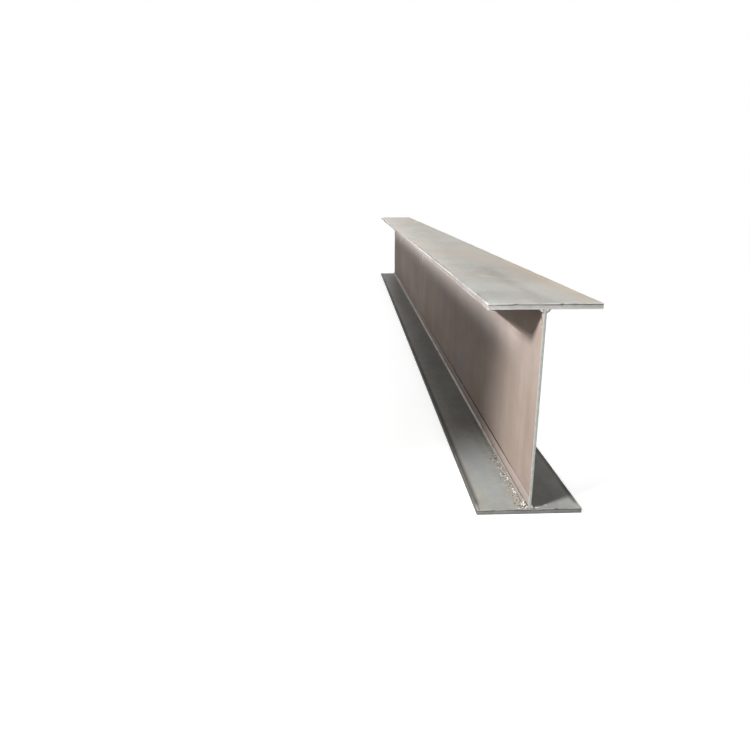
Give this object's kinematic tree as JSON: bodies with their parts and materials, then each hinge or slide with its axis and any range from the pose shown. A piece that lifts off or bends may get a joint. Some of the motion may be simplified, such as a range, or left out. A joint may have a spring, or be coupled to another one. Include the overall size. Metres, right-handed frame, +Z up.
{
  "type": "steel h-beam",
  "caption": "Long welded steel H-beam: a tall thin web plate between wide flat flange plates, joined by fillet welds, that carries load as a girder or column.",
  "frame": {"origin": "centre of the underside of the bottom flange, at mid length, on the floor the beam lies on", "axes": "+X across the flanges, +Y along the beam from the near end to the far end, +Z up"},
  "size_m": [0.35, 6, 0.7],
  "materials": {
    "flange_steel": "grey mill scale, dusty, with flame-cut edges",
    "web_steel": "mill scale with a thin brown rust bloom",
    "weld_metal": "rippled weld bead, lightly rusted"
  },
  "bodies": {
    "root": {"bottom_flange_plate": "flange_steel", "top_flange_plate": "flange_steel", "web_plate": "web_steel", "bottom_left_weld": "weld_metal", "bottom_right_weld": "weld_metal", "top_left_weld": "weld_metal", "top_right_weld": "weld_metal"}
  },
  "joints": []
}
